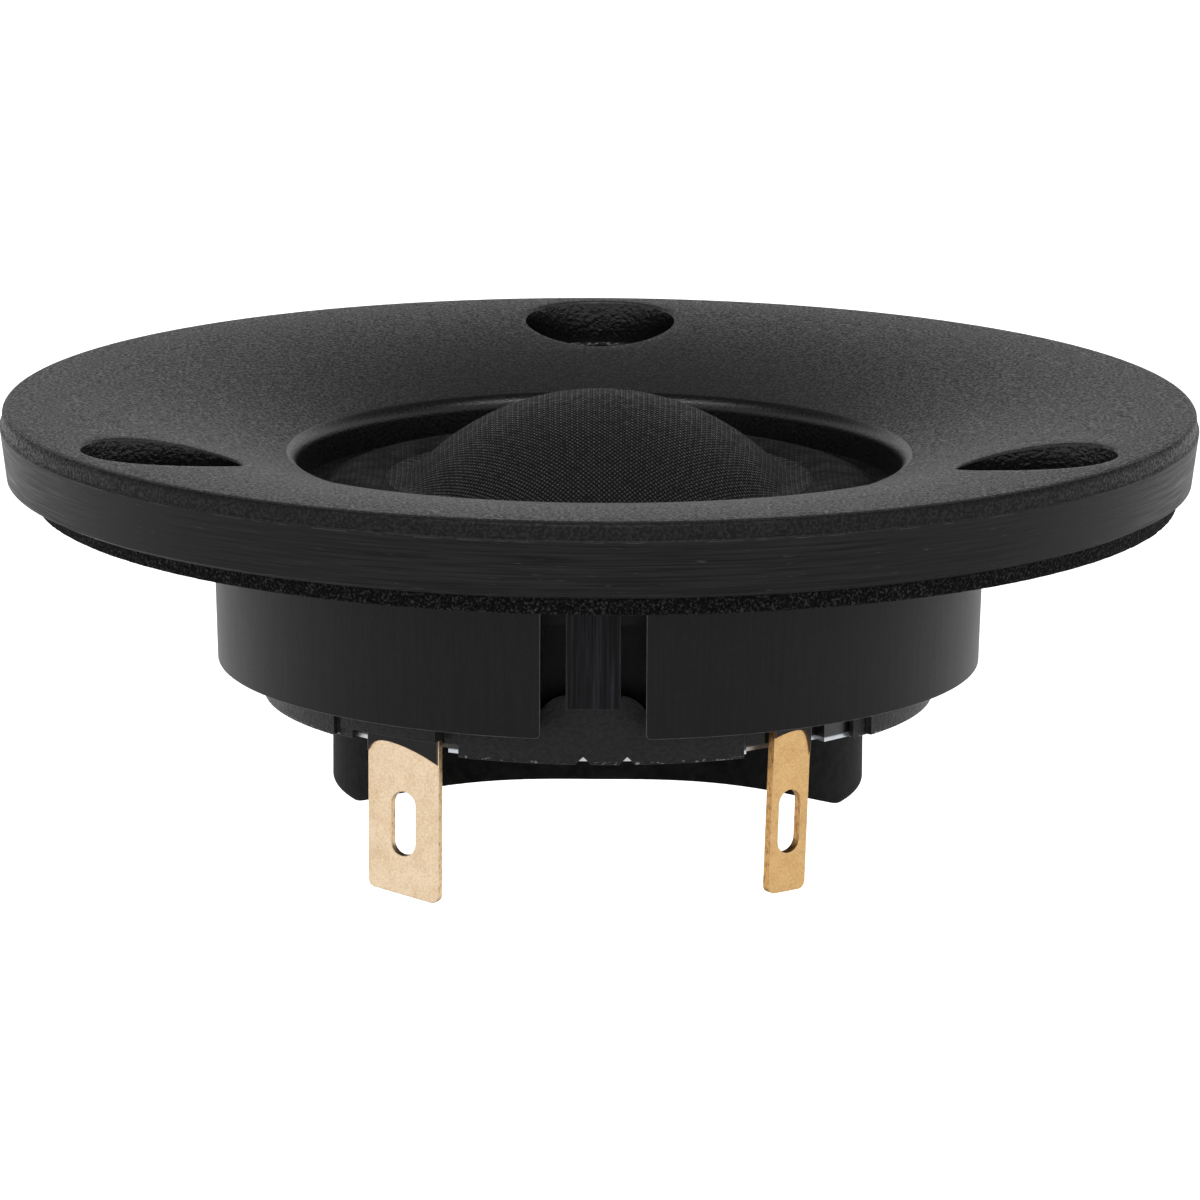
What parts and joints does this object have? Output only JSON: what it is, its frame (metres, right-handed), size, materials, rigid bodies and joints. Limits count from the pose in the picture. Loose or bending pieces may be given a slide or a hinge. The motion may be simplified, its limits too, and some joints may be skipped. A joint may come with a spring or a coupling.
{
  "type": "car tweeter",
  "caption": "Round soft-dome tweeter for a car: dished flush-mount faceplate, foam gasket, short round housing, solder tabs and an arched rear chamber.",
  "frame": {"origin": "centre of the screw-hole circle, on the rear face of the faceplate", "axes": "+Z is the way the dome fires, -Y is the side with the two solder tabs"},
  "size_m": [0.0764, 0.0764, 0.0289],
  "materials": {
    "faceplate": "spark-eroded black moulding with a turned edge",
    "foam_gasket": "closed-cell black foam",
    "housing": "black moulding with fine draw marks",
    "carrier": "black moulding, rough rear edge",
    "tab_pale_gold": "gold-plated, lightly pitted",
    "tab_gold": "gold-plated, lightly pitted",
    "sealant": "brushed-on black epoxy",
    "zinc_steel": "zinc-plated",
    "magnet": "epoxy-coated neodymium",
    "black_steel": "black-phosphated",
    "felt": "grey felt",
    "seal": "black foam tape",
    "rear_chamber": "satin black moulding",
    "wadding": "off-white fibre",
    "ring": "black moulding",
    "surround": "coated woven silk, formed",
    "dome": "coated woven silk, formed",
    "former": "thin rolled sheet",
    "copper": "enamelled copper wire",
    "lead": "flat woven tinsel",
    "solder": "bright solder"
  },
  "bodies": {
    "root": {"faceplate": "faceplate", "foam_gasket": "foam_gasket", "housing": "housing", "terminal_carrier": "carrier", "terminal_positive": "tab_pale_gold", "terminal_negative": "tab_gold", "terminal_sealant": "sealant", "back_plate": "zinc_steel", "pole_piece": "zinc_steel", "magnet": "magnet", "top_plate": "black_steel", "pole_felt": "felt", "chamber_seal": "seal", "rear_chamber": "rear_chamber", "chamber_wadding": "wadding", "diaphragm_ring": "ring", "solder_positive": "solder", "solder_negative": "solder"},
    "diaphragm": {"dome": "dome", "surround": "surround", "coil_former": "former", "voice_coil": "copper", "lead_wire_positive": "lead", "lead_wire_negative": "lead"}
  },
  "joints": [
    {"name": "dome_stroke", "type": "slide", "parent": "root", "child": "diaphragm", "axis": [0, 0, 1], "range_m": [-0.0005, 0.0005], "stiffness_N_per_m": 300, "deforming": ["surround", "lead_wire_positive", "lead_wire_negative"]}
  ]
}
